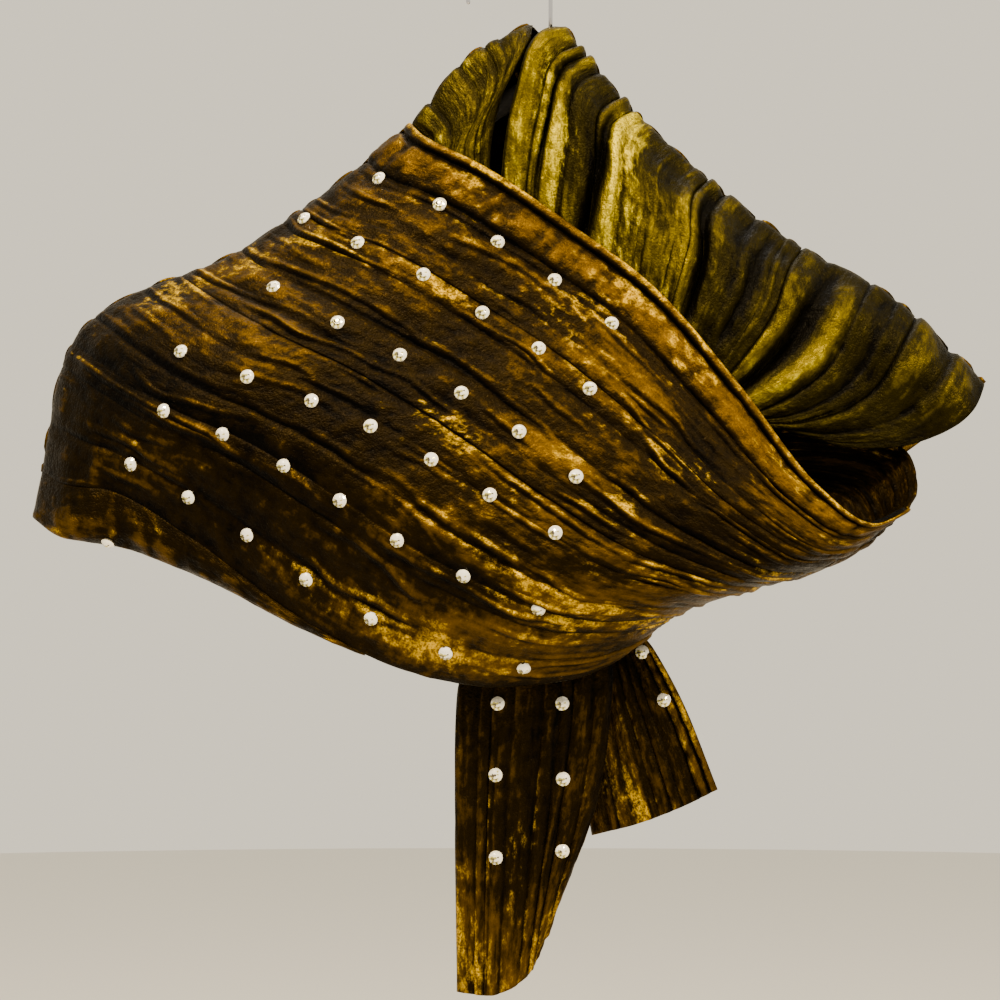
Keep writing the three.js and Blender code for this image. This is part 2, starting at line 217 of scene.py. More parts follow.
def line_across(shares: tuple[float, ...], points: tuple[Point, ...]) -> Callable[[Grid], Grid]:
    """Make a line across the strip through a few points at shares of its width."""
    through = np.asarray(points, float)[:, None, :]
    return lambda t: curve_at(shares, through, t)[:, 0, :]


def pleat_edge(k: Any, count: int = PLEATS) -> Grid:
    """Give the share of the width where pleat k of a number of pleats begins."""
    k = np.asarray(k, float)
    stray = np.where((k == 0) | (k == count), 0.0, UNEVEN * np.sin(1.7 * k + 0.6))
    return (k + stray) / count


CORNER = float(pleat_edge(NECK_PLEATS))


def cross_lines(first: Grid, second: Grid) -> Grid:
    """Give the unit vectors square to two grids of vectors."""
    square = np.cross(first, second)
    return square / np.maximum(np.linalg.norm(square, axis=-1, keepdims=True), 1e-9)


def hump(place: Grid, middle: float, half: float, power: float = 2.0) -> Grid:
    """Give the height of a smooth hump, 1 at its middle.

    Args:
        place: the places to read.
        middle: the hump's own place.
        half: how far out it has fallen to about a third.
        power: 2 for a round hump, and more for one with a flat top.

    Returns:
        The height at each place.
    """
    return np.exp(-(np.abs((place - middle) / half) ** power))


class Crush:
    """Smooth random relief from -1 to 1 over the cloth, eased between heights on a lattice."""

    SIZE = 61

    def __init__(self, seed: int) -> None:
        """Draw the lattice's heights."""
        self.heights = np.random.default_rng(seed).uniform(-1, 1, (self.SIZE, self.SIZE))

    def at(self, u: Grid, v: Grid) -> Grid:
        """Read the relief.

        Args:
            u: places along the cloth, in lattice cells.
            v: places across it, in lattice cells.

        Returns:
            The relief at each place.
        """
        u, v = np.broadcast_arrays(u, v)
        i = np.floor(u).astype(int)
        j = np.floor(v).astype(int)
        x = ease(u - i)
        y = ease(v - j)

        def corner(di: int, dj: int) -> Grid:
            """Give the height at one corner of each place's lattice cell."""
            return self.heights[(i + di) % self.SIZE, (j + dj) % self.SIZE]

        low = corner(0, 0) * (1 - x) + corner(1, 0) * x
        high = corner(0, 1) * (1 - x) + corner(1, 1) * x
        return low * (1 - y) + high * y


@dataclass(frozen=True)
class Ripple:
    """One size of random relief: its height and its reach along and across, in millimetres.

    seat is where it starts on the lattice, so that no two sizes repeat each other.
    """

    height: float
    long_mm: float
    wide_mm: float
    seat: tuple[float, float] = (0.0, 0.0)

    def at(self, crush: Crush, along: Grid, over: Grid) -> Grid:
        """Read the ripple's relief at places on the cloth, in millimetres."""
        u = along / self.long_mm + self.seat[0]
        v = over / self.wide_mm + self.seat[1]
        return self.height * crush.at(u, v)


@dataclass(frozen=True)
class Drift:
    """How one feature of each pleat or line changes along it.

    by is how much, over_mm how slowly, and cells how far on the lattice the next pleat's is.
    """

    by: float
    over_mm: float
    cells: float

    def at(self, crush: Crush, along: Grid, number: Grid, u_seat: float = 0.0, v_seat: float = 0.0) -> Grid:
        """Read the change at places along numbered pleats, from seats on the lattice."""
        return self.by * crush.at(along / self.over_mm + u_seat, number * self.cells + v_seat)


SWELLS = Ripple(1.3, 46, 30, (70, 13))
DENTS = Ripple(0.6, 12, 6, (40, 7))
PUCKERS = Ripple(1.0, 8, 15, (31, 3))
GRAIN = Ripple(0.16, 4.2, 2.1, (11, 23))
# Only the part of a pucker above this level stands out, and by this much.
PUCKER_LEVEL = 0.25
PUCKER_HEIGHT = 1.1
BAND_WRINKLES = (Ripple(1.1, 5, 13), Ripple(0.7, 3.2, 5))
PLEAT_SIZE = Drift(0.5, 55, 3.7)
PLEAT_LEAN = Drift(0.45, 80, 5.3)
LEAN_SEAT = 9
LINE_RISE = Drift(1.5, 34, 4.1)
LINE_LEAST = 0.35
LINE_MOST = 1.5


@dataclass(frozen=True)
class Row:
    """One section of a stretch: its share of the length, and points across the width."""

    at: float
    points: tuple[Point, ...]


@dataclass(frozen=True)
class Seam:
    """An end of a stretch that runs on into its neighbour.

    slope is the way it runs there at its two long edges, and section the line across it that the
    neighbour shares. step adds a row beside that line: its place, and how far it is moved off the
    line at the two edges.
    """

    slope: tuple[Point, Point]
    section: Optional[Callable[[Grid], Grid]] = None
    step: Optional[tuple[float, Point, Point]] = None


@dataclass(frozen=True)
class Fold:
    """One listed main crease or ridge, between two places on a stretch.

    Places are (share of the length, share of the width). height is negative for a crease.
    """

    start: tuple[float, float]
    end: tuple[float, float]
    height: float
    width: float


@dataclass(frozen=True)
class PaintedLight:
    """A patch of painted light round a place on a stretch, painted shade where its strength is negative.

    along and over are shares of its length and width, and long_mm and wide_mm its reach.
    """

    along: float
    over: float
    long_mm: float
    wide_mm: float
    strength: float


@dataclass(frozen=True)
class Stretch:
    """One stretch of the strip, as a table of sections from its first end to its last.

    across gives the shares of the width where each row's points lie. The pleats run from first
    to last of count, and are depth deep in millimetres: knife is how far they are folded to one
    side, calm how far they start out flat, and sizes the size of each. crush_mm scales all the
    crumples, and line_mm and line_height the pressed lines. banded gives the border bands along
    the two long edges in millimetres, start_mm the place along the strip, and lit_slope how much
    lighter a rising slope is painted, as painted light, or darker where it is negative; its patches
    of painted light and shade are listed. steps and fine are the grid's rows, and its columns for
    each pleat.
    """

    node: str
    side: Side
    across: tuple[float, ...]
    rows: tuple[Row, ...]
    depth: float
    first: int = 0
    last: int = PLEATS
    count: int = PLEATS
    begins: Optional[Seam] = None
    ends: Optional[Seam] = None
    gathered_begin: bool = False
    gathered_end: bool = False
    mirrored: bool = False
    steps: int = 120
    fine: int = 10
    start_mm: float = 0.0
    folds: tuple[Fold, ...] = ()
    painted_lights: tuple[PaintedLight, ...] = ()
    banded: tuple[float, float] = (0.0, 0.0)
    crush_mm: float = 1.0
    line_mm: float = 21.0
    line_height: float = 1.15
    sizes: tuple[float, ...] = ()
    knife: float = 0.25
    calm: float = 0.0
    lit_slope: float = 0.42
    seed: int = 1

    def strip_mm(self) -> float:
        """Give the width over which the stretch's pleats are counted."""
        return STRIP_WIDTH if self.count == PLEATS else TAIL_WIDTH

    def places(self) -> Grid:
        """Give each grid row's share of the stretch's length."""
        return np.linspace(0, 1, self.steps + 1)

    def shares(self) -> Grid:
        """Give each grid column's share of the strip's width."""
        edges = pleat_edge(np.arange(self.first, self.last + 1), self.count)
        parts = [np.linspace(low, high, self.fine, endpoint=False) for low, high in zip(edges, edges[1:])]
        return np.append(np.concatenate(parts), edges[-1])

    def smooth(self, s: Grid, t: Grid) -> Grid:
        """Work out the surface without its pleats.

        Args:
            s: shares of the stretch's length.
            t: shares of its width.

        Returns:
            Points in millimetres, as (s, t, 3).
        """
        knots = [row.at for row in self.rows]
        lines = [line_across(self.across, row.points)(t) for row in self.rows]
        for seam, end in ((self.begins, 0), (self.ends, 1)):
            if seam is None or seam.section is None:
                continue
            place = 0 if end == 0 else len(knots)
            line = seam.section(t)
            if seam.step is not None:
                at, near, far = seam.step
                moved = line + np.asarray(near) * (1 - t)[:, None] + np.asarray(far) * t[:, None]
                knots.insert(place, at)
                lines.insert(place, moved)
                place = 0 if end == 0 else len(knots)
            knots.insert(place, float(end))
            lines.insert(place, line)
        slopes = []
        for seam in (self.begins, self.ends):
            if seam is None:
                slopes.append(None)
                continue
            near, far = (np.asarray(v, float) for v in seam.slope)
            slopes.append(near * (1 - t)[:, None] + far * t[:, None])
        return curve_at(knots, np.stack(lines), s, slopes[0], slopes[1])

    def length_mm(self) -> float:
        """Measure the stretch along its middle."""
        line = self.smooth(np.linspace(0, 1, LENGTH_POINTS), np.array([0.5]))[:, 0]
        return float(np.linalg.norm(np.diff(line, axis=0), axis=1).sum())

    def relief(self, s: Grid, shares: Grid) -> Grid:
        """Work out how far the cloth stands out from the smooth surface, in millimetres.

        Args:
            s: shares of the length, one for each grid row.
            shares: shares of the strip's width, one for each grid column.

        Returns:
            The relief, as (rows, columns).
        """
        crush = Crush(self.seed)
        along = (s * self.length_mm() + self.start_mm)[:, None]
        over = (shares * self.strip_mm())[None, :]
        pleats = self.depth * self.envelope(s) * self.pleat_profile(crush, along, shares)
        crumple = self.line_height * self.pressed_lines(crush, along, over)
        crumple = crumple + SWELLS.at(crush, along, over) + DENTS.at(crush, along, over)
        puckers = np.clip(PUCKERS.at(crush, along, over), PUCKER_LEVEL, 1) - PUCKER_LEVEL
        crumple = crumple + PUCKER_HEIGHT * puckers + GRAIN.at(crush, along, over)
        quiet = np.ones_like(s)
        reach = QUIET_MM / self.length_mm()
        if self.begins is not None:
            quiet = quiet * ease(s / reach)
        if self.ends is not None:
            quiet = quiet * ease((1 - s) / reach)
        made = pleats + self.crush_mm * crumple * quiet[:, None]
        made = self.add_bands(made, along, shares)
        return made + self.placed_folds(s, shares) * quiet[:, None]

    def envelope(self, s: Grid) -> Grid:
        """Give the share of their full depth that the pleats have along the stretch."""
        made = np.ones_like(s)
        if self.gathered_begin:
            made = made * ease(s / GATHER)
        if self.gathered_end:
            made = made * ease((1 - s) / GATHER)
        made = made * (1 - self.calm * (1 - ease(s / CALM_SHARE)))
        return made[:, None]

    def pleat_profile(self, crush: Crush, along: Grid, shares: Grid) -> Grid:
        """Work out the pleats at a depth of 1, part rounded and part folded like a knife.

        Args:
            crush: the stretch's random relief.
            along: places along the strip in millimetres, as (rows, 1).
            shares: shares of the strip's width.

        Returns:
            The pleats' relief as a share of their depth.
        """
        edges = pleat_edge(np.arange(self.first, self.last + 1), self.count)
        k = np.clip(np.searchsorted(edges, shares, side="right") - 1, 0, len(edges) - 2)
        x = np.clip((shares - edges[k]) / (edges[k + 1] - edges[k]), 0, 1)[None, :]
        number = (k + self.first)[None, :]
        size = PLEAT_MIDDLE + PLEAT_SPREAD * np.sin(2.9 * number + 1)
        if self.sizes:
            size = np.asarray(self.sizes)[k][None, :]
        size = size * (1 + PLEAT_SIZE.at(crush, along, number))
        lean = 1 + PLEAT_LEAN.at(crush, along, number, v_seat=LEAN_SEAT)
        rounded = np.sin(np.pi * x**lean) ** ROUNDNESS
        knifed = ease(x / STEEP_SIDE) * (1 - KNIFE_FALL * ease((x - STEEP_SIDE) / (1 - STEEP_SIDE)))
        profile = rounded * (1 - self.knife) + knifed * self.knife
        return size * (profile - LEVEL)

    def pressed_lines(self, crush: Crush, along: Grid, over: Grid) -> Grid:
        """Work out the thin lines that run along the pleats, some high and some nearly gone.

        Args:
            crush: the stretch's random relief.
            along: places along the strip in millimetres, as (rows, 1).
            over: places across it in millimetres, as (1, columns).

        Returns:
            The lines' relief, about 1 on a high line.
        """
        lines = np.zeros(np.broadcast_shapes(along.shape, over.shape))
        for seat in LINE_SEATS:
            waver = Ripple(4.5, 70, 60, (seat, seat)).at(crush, along, over)
            waver = waver + Ripple(2, 21, 30, (seat, 0)).at(crush, along, over)
            place = (over + waver) / self.line_mm + seat / 7
            number = np.floor(place)
            rise = np.clip(LINE_LEAST + LINE_RISE.at(crush, along, number, seat, seat), 0, LINE_MOST)
            gap = (place - number - 0.5) * self.line_mm
            crease = CREASE_DEPTH * hump(gap, CREASE_ASIDE, CREASE_HALF)
            lines += rise * (hump(gap, 0, LINE_HALF, LINE_PEAK) - crease)
        return lines

    def add_bands(self, made: Grid, along: Grid, shares: Grid) -> Grid:
        """Turn the cloth along a free long edge into a stitched border band.

        Args:
            made: the relief so far.
            along: places along the strip in millimetres, as (rows, 1).
            shares: shares of the strip's width.

        Returns:
            The relief with its bands.
        """
        crush = Crush(self.seed + BAND_SEED)
        width = self.strip_mm()
        near = (shares - shares[0]) * width
        far = (shares[-1] - shares) * width
        for band, distance in zip(self.banded, (near, far)):
            if band <= 0:
                continue
            distance = distance[None, :]
            inside = ease((band + 1 - distance) / 2.5)
            turned = np.clip((distance - RIM_MM) / (band - RIM_MM), 0, 1)
            swell = BAND_SWELL * np.sin(np.pi * turned) - BAND_GROUND
            wrinkle = sum(ripple.at(crush, along, distance) for ripple in BAND_WRINKLES)
            wrinkle = wrinkle * ease((distance - RIM_MM) / 3)
            rim = RIM_HEIGHT * hump(distance, 0.4 * RIM_MM, 0.5 * RIM_MM, 4)
            stitching = STITCH_DEPTH * hump(distance, band, STITCH_HALF)
            rim_groove = RIM_GROOVE_DEPTH * hump(distance, RIM_MM + 1, RIM_GROOVE_HALF)
            made = made * (1 - inside) + (swell + wrinkle + rim) * inside - stitching - rim_groove
        return made

    def placed_folds(self, s: Grid, shares: Grid) -> Grid:
        """Add up the listed folds."""
        made = np.zeros((len(s), len(shares)))
        width = float(shares[-1] - shares[0])
        t = (shares - shares[0]) / width
        size = np.array([self.length_mm(), width * self.strip_mm()])
        place = np.stack(np.meshgrid(s, t, indexing="ij"), axis=-1) * size
        for fold in self.folds:
            begin = np.asarray(fold.start) * size
            run = np.asarray(fold.end) * size - begin
            share = ((place - begin) @ run) / float(run @ run)
            nearest = begin + np.clip(share, 0, 1)[..., None] * run
            gap = np.linalg.norm(place - nearest, axis=-1)
            taper = 1 - 0.6 * (2 * np.clip(share, 0, 1) - 1) ** 2
            made += fold.height * taper * hump(gap, 0, fold.width)
        return made

    def painted_light(self, s: Grid, shares: Grid, relief: Grid) -> Grid:
        """Work out the painted light and shade, from about -0.5 to 1.

        Args:
            s: shares of the length, one for each grid row.
            shares: shares of the strip's width, one for each grid column.
            relief: how far the cloth stands out, in millimetres.

        Returns:
            The painted light and shade, as (rows, columns).
        """
        t = (shares - shares[0]) / (shares[-1] - shares[0])
        width = float(shares[-1] - shares[0]) * self.strip_mm()
        # Painted light and shade: each slope is painted lighter or darker by how it rises across the strip.
        rising = np.gradient(relief, shares * self.strip_mm(), axis=1)
        made = self.lit_slope * np.tanh(SLOPE_GAIN * rising)
        # Listed patches of painted light, or of painted shade where their strength is negative.
        for painted_light in self.painted_lights:
            ahead = (s[:, None] - painted_light.along) * self.length_mm() / painted_light.long_mm
            aside = (t[None, :] - painted_light.over) * width / painted_light.wide_mm
            made += painted_light.strength * np.exp(-(ahead**2) - aside**2)
        for band, distance in zip(self.banded, (t * width, (1 - t) * width)):
            if band > 0:
                # Painted highlight on the band and its rim, and painted shade in the groove beside the rim.
                lies = BAND_LIT * ease((band - distance) / 3) + RIM_LIT * ease((RIM_MM - distance) / 2)
                made += (lies - GROOVE_UNLIT * hump(distance, RIM_MM + 1.2, 1.6))[None, :]
        return made

    def surface(self) -> tuple[Grid, Grid, Grid]:
        """Work out the whole stretch.

        Returns:
            Points and outward vectors, each as (rows, columns, 3), and the relief.
        """
        s = self.places()
        shares = self.shares()
        t = (shares - shares[0]) / (shares[-1] - shares[0])
        points = self.smooth(s, t)
        outward = cross_lines(np.gradient(points, axis=1), np.gradient(points, axis=0))
        if self.mirrored:
            outward = -outward
        relief = self.relief(s, shares)
        return points + outward * relief[..., None], outward, relief


def add_object(name: str, made: bmesh.types.BMesh) -> bpy.types.Object:
    """Turn a mesh in the making to an object in the scene, and let go of the mesh.

    Args:
        name: the object's name.
        made: its mesh in the making.

    Returns:
        The new object.
    """
    mesh = bpy.data.meshes.new(name)
    made.to_mesh(mesh)
    made.free()
    piece = bpy.data.objects.new(name, mesh)
    bpy.context.scene.collection.objects.link(piece)
    return piece


def cloth_object(
    name: str, points: Grid, relief: Grid, painted_light: Grid, strip: tuple[Grid, Grid], flip: bool
) -> bpy.types.Object:
    """Make a sheet of velvet from a grid of points.

    Args:
        name: the piece's name.
        points: points in millimetres, as (rows, columns, 3).
        relief: how far each point stands out, in millimetres.
        painted_light: the painted light and shade at each point.
        strip: places along and across the strip in millimetres, for the pattern.
        flip: whether the grid's own square direction points inwards.

    Returns:
        The piece, with a Solidify modifier, its UV map and its two attributes.
    """
    rows, columns = points.shape[:2]
    sheet = bmesh.new()
    bmesh.ops.create_grid(sheet, x_segments=columns - 1, y_segments=rows - 1, size=0.5)
    cloth_map = sheet.loops.layers.uv.new("cloth")
    height = sheet.verts.layers.float.new("relief")
    # This layer carries the painted light and shade into the material's colour.
    painted_light_layer = sheet.verts.layers.float.new("painted_light")
    # The relief's level feeds the painted shade in the creases and the painted light on the ridges.
    level = np.clip(0.5 + relief / RELIEF_SPAN, 0, 1)
    along, over = (np.broadcast_to(part, (rows, columns)) * MM for part in strip)
    places = {}
    for vertex in sheet.verts:
        i = round((vertex.co.x + 0.5) * (columns - 1))
        j = round((vertex.co.y + 0.5) * (rows - 1))
        places[vertex] = (j, i)
        vertex[height] = level[j, i]
        vertex[painted_light_layer] = painted_light[j, i]
        vertex.co = Vector(points[j, i]) * MM
    for face in sheet.faces:
        face.smooth = True
        for loop in face.loops:
            j, i = places[loop.vert]
            loop[cloth_map].uv = (along[j, i], over[j, i])
    if flip:
        bmesh.ops.reverse_faces(sheet, faces=sheet.faces)
    piece = add_object(name, sheet)
    wall = piece.modifiers.new("wall", "SOLIDIFY")
    wall.thickness = CLOTH_MM * MM
    wall.offset = 0.0
    wall.use_even_offset = False
    return piece


LEFT_RIDGE = line_across(
    (0, 0.13, CORNER, 0.4, 0.58, 0.86, 1),
    (
        (12, 0, -37),
        (-22, 0, -55),
        (-52, 0, -90),
        (-90, 0, -121),
        (-140, 0, -156),
        (-233, 0, -210),
        (-247, 0, -274),
    ),
)
RIGHT_RIDGE = line_across(
    (0, 0.33, 0.67, 0.84, 1),
    ((28, 0, -38), (77, 0, -94), (154, 0, -155), (203, 0, -182), (252, 0, -227)),
)

# Points across each row run from the edge nearest the neck to the other one.
FRONT_PANEL = Stretch(
    node="front_panel",
    side=Side.FACE,
    across=(0, 0.4, 0.8, 1),
    first=NECK_PLEATS,
    depth=1.9,
    steps=142,
    fine=20,
    banded=(24.0, 0.0),
    calm=0.5,
    seed=11,
    painted_lights=(
        PaintedLight(0.42, 0.1, 60, 14, 0.12),
        PaintedLight(0.75, 0.07, 90, 12, 0.24),
        PaintedLight(0.35, 0.5, 40, 30, -0.16),
        PaintedLight(0.55, 0.36, 30, 14, -0.14),
        PaintedLight(0.3, 0.93, 50, 20, -0.12),
        PaintedLight(0.55, 0.22, 40, 10, 0.3),
        PaintedLight(0.3, 0.3, 45, 9, 0.3),
        PaintedLight(0.05, 0.5, 14, 60, 0.3),
        PaintedLight(0.62, 0.45, 26, 8, 0.3),
        PaintedLight(0.5, 0.55, 30, 9, 0.3),
        PaintedLight(0.62, 0.62, 40, 8, 0.35),
        PaintedLight(0.75, 0.74, 50, 9, 0.4),
        PaintedLight(0.7, 0.93, 60, 12, 0.4),
        PaintedLight(0.2, 0.75, 60, 30, -0.2),
        PaintedLight(0.62, 0.8, 30, 10, -0.25),
    ),
    begins=Seam(
        slope=((0, -340, 0), (0, -340, 0)),
        section=lambda t: LEFT_RIDGE(CORNER + (1 - CORNER) * t),
        step=(0.05, (6, -14, -7), (9, -15, -5)),
    ),
    ends=Seam(slope=((0, 300, 0), (0, 300, 0))),
    rows=(
        Row(0.17, ((-13, -26, -115), (-88, -42, -178), (-186, -46, -238), (-206, -30, -285))),
        Row(0.33, ((32, -34, -146), (-39, -57, -205), (-137, -62, -260), (-161, -41, -312))),
        Row(0.5, ((77, -43, -181), (8, -69, -236), (-87, -74, -290), (-111, -51, -348))),
        Row(0.67, ((119, -54, -231), (55, -78, -272), (-34, -80, -324), (-55, -55, -376))),
        Row(0.83, ((159, -64, -283), (100, -82, -305), (27, -78, -349), (3, -52, -385))),
        Row(0.94, ((188, -62, -301), (140, -70, -324), (72, -63, -350), (48, -46, -376))),
        Row(1, ((207, -46, -293), (160, -46, -324), (87, -40, -347), (68, -33, -362))),
    ),
)
SIDE_LOOP = Stretch(
    node="side_loop",
    side=Side.FACE,
    across=(0, 0.4, 0.8, 1),
    first=NECK_PLEATS,
    depth=2.5,
    gathered_end=True,
    steps=120,
    fine=8,
    start_mm=330,
    crush_mm=0.7,
    seed=12,
    begins=Seam(slope=((0, 90, 0), (0, 90, 0))),
    ends=Seam(slope=((-280, 0, -120), (-14, 0, -8))),
    rows=(
        Row(0, ((207, -46, -293), (160, -46, -324), (87, -40, -347), (68, -33, -362))),
        Row(0.3, ((213, -27, -279), (180, -22, -312), (96, -20, -340), (72, -19, -356))),
        Row(0.5, ((207, -8, -262), (170, -1, -292), (94, -6, -332), (75, -11, -349))),
        Row(1, ((66, -1, -268), (66, -3, -298), (68, -8, -334), (69, -12, -348))),
    ),
)
REAR_TAIL = Stretch(
    node="rear_tail",
    side=Side.FACE,
    across=(0, 0.4, 0.8, 1),
    first=0,
    last=TAIL_PLEATS,
    count=TAIL_PLEATS,
    depth=2,
    gathered_begin=True,
    mirrored=True,
    steps=120,
    fine=12,
    start_mm=480,
    crush_mm=0.6,
    banded=(0.0, 13.0),
    seed=13,
    painted_lights=(PaintedLight(0.75, 0.35, 60, 10, 0.2), PaintedLight(0.6, 0.85, 60, 12, 0.15)),
    begins=Seam(slope=((-112, 0, -48), (-5.6, 0, -3.2))),
    rows=(
        Row(0, ((66, -1, -268), (66, -3, -298), (68, -8, -334), (69, -12, -348))),
        Row(0.25, ((38, -6, -308), (45, -9, -324), (57, -12, -345), (66, -14, -356))),
        Row(0.5, ((32, -14, -371), (49, -14, -370), (67, -14, -368), (76, -15, -368))),
        Row(0.75, ((37, -15, -424), (59, -17, -417), (82, -18, -405), (92, -17, -398))),
        Row(1, ((44, -17, -465), (70, -19, -458), (97, -20, -447), (109, -19, -441))),
    ),
)
RIGHT_SHOULDER = Stretch(
    node="right_shoulder",
    side=Side.REVERSE,
    across=(0, 0.33, 0.67, 1),
    depth=3.6,
    gathered_end=True,
    mirrored=True,
    steps=112,
    fine=16,
    start_mm=-560,
    crush_mm=0.8,
    line_height=0.9,
    knife=0.8,
    lit_slope=-0.25,
    sizes=(1.0, 0.8, 1.1, 0.7, 1.3, 0.3, 0.15, 0.3, 0.2, 1.2, 0.8, 0.3, 0.25, 1.3, 0.4, 0.9, 0.3, 1.0, 0.5),
    seed=14,
    painted_lights=(
        PaintedLight(0.3, 0.275, 60, 5, 0.6),
        PaintedLight(0.35, 0.04, 80, 12, 0.4),
        PaintedLight(0.45, 0.12, 60, 8, 0.2),
        PaintedLight(0.3, 0.44, 70, 5, 0.3),
        PaintedLight(0.4, 0.77, 60, 5, 0.35),
        PaintedLight(0.05, 0.29, 14, 9, 0.5),
        PaintedLight(0.2, 0.12, 60, 8, 0.2),
        PaintedLight(0.35, 0.88, 60, 34, -0.25),
        PaintedLight(0.25, 0.6, 60, 24, -0.12),
        PaintedLight(0.5, 0.34, 60, 14, 0.1),
    ),
    folds=(
        Fold((0.1, 0.255), (0.62, 0.2), -7.0, 4.0),
        Fold((0.12, 0.285), (0.6, 0.245), 3.5, 4.0),
        Fold((0.05, 0.5), (0.5, 0.52), -5.0, 4.0),
        Fold((0.1, 0.46), (0.45, 0.47), 2.5, 4.0),
        Fold((0.04, 0.745), (0.6, 0.71), -7.0, 4.5),
        Fold((0.06, 0.79), (0.6, 0.76), 3.0, 4.0),
        Fold((0.05, 0.62), (0.5, 0.61), -3.5, 3.5),
        Fold((0.05, 0.1), (0.6, 0.07), -3.0, 3.0),
    ),
    begins=Seam(
        slope=((0, -217, 0), (0, -217, 0)),
        section=RIGHT_RIDGE,
        step=(0.06, (-9, -9, -3), (-4, -11, -9)),
    ),
    ends=Seam(slope=((0, -5, -180), (-100, 0, -130))),
    rows=(
        Row(0.3, ((3, -15, -77), (65, -23, -133), (136, -26, -192), (220, -15, -257))),
        Row(0.55, ((-4, -16, -125), (59, -25, -178), (112, -30, -225), (178, -22, -261))),
        Row(0.75, ((-2, -17, -160), (52, -25, -207), (92, -30, -244), (134, -24, -252))),
        Row(1, ((3, -18, -199), (38, -24, -232), (70, -28, -262), (97, -26, -292))),
    ),
)
FRONT_TAIL = Stretch(
    node="front_tail",
    side=Side.FACE,
    across=(0, 0.33, 0.67, 1),
    last=TAIL_PLEATS,
    count=TAIL_PLEATS,
    depth=2,
    gathered_begin=True,
    mirrored=True,
    steps=190,
    fine=11,
    start_mm=-760,
    crush_mm=0.6,
    seed=15,
    painted_lights=(
        PaintedLight(0.97, 0.5, 26, 50, 0.45),
        PaintedLight(0.86, 0.1, 26, 14, 0.3),
        PaintedLight(0.7, 0.8, 50, 8, 0.2),
        PaintedLight(0.6, 0.5, 60, 60, -0.12),
    ),
    begins=Seam(slope=((0, -8, -288), (-160, 0, -208))),
    rows=(
        Row(0, ((3, -18, -199), (38, -24, -232), (70, -28, -262), (97, -26, -292))),
        Row(0.2, ((-2, -24, -262), (22, -27, -278), (50, -29, -298), (74, -27, -318))),
        Row(0.4, ((-15, -28, -331), (6, -30, -336), (28, -31, -342), (52, -29, -350))),
        Row(0.55, ((-26, -29, -384), (1, -32, -386), (30, -32, -386), (54, -30, -383))),
        Row(0.75, ((-28, -29, -448), (-3, -33, -449), (24, -33, -449), (46, -30, -445))),
        Row(1, ((-27, -28, -546), (-7, -31, -547), (11, -31, -535), (22, -28, -509))),
    ),
)
NECK_FOLD = Stretch(
    node="neck_fold",
    side=Side.REVERSE,
    across=(0, 0.5, 1),
    last=NECK_PLEATS,
    depth=2,
    knife=0.6,
    lit_slope=-0.2,
    painted_lights=(PaintedLight(0.4, 0.5, 60, 40, 0.22),),
    steps=70,
    fine=12,
    crush_mm=0.7,
    seed=16,
    begins=Seam(slope=((0, -67, 0), (0, -67, 0)), section=lambda t: LEFT_RIDGE(CORNER * t)),
    rows=(
        Row(0.12, ((11, -8, -44), (-15, -7, -69), (-43, -6, -99))),
        Row(0.5, ((-6, -11, -81), (-22, -12, -103), (-37, -10, -122))),
        Row(1, ((-12, -12, -130), (-21, -13, -138), (-30, -11, -143))),
    ),
)
BACK_STRETCH = Stretch(
    node="back_stretch",
    side=Side.FACE,
    across=(0, 0.33, 0.67, 1),
    depth=4,
    steps=170,
    fine=8,
    start_mm=-300,
    banded=(0.0, 16.0),
    seed=17,
    begins=Seam(
        slope=((0, 240, 0), (0, 240, 0)),
        section=RIGHT_RIDGE,
        step=(0.05, (-4, 9, -2), (-6, 12, -9)),
    ),
    ends=Seam(
        slope=((0, -240, 0), (0, -240, 0)),
        section=LEFT_RIDGE,
        step=(0.95, (3, 9, -2), (8, 12, -5)),
    ),
    rows=(
        Row(0.25, ((25, 12, -42), (48, 27, -143), (96, 34, -228), (154, 25, -299))),
        Row(0.5, ((20, 14, -43), (11, 30, -164), (2, 41, -262), (-5, 33, -348))),
        Row(0.75, ((15, 12, -42), (-37, 27, -143), (-100, 40, -236), (-145, 27, -315))),
    ),
)
STRETCHES = (
    FRONT_PANEL,
    SIDE_LOOP,
    REAR_TAIL,
    RIGHT_SHOULDER,
    FRONT_TAIL,
    NECK_FOLD,
    BACK_STRETCH,
)


# The colour sockets of Blender's Mix node, by their place.
MIX_FROM = 6
MIX_TO = 7
MIX_RESULT = 2


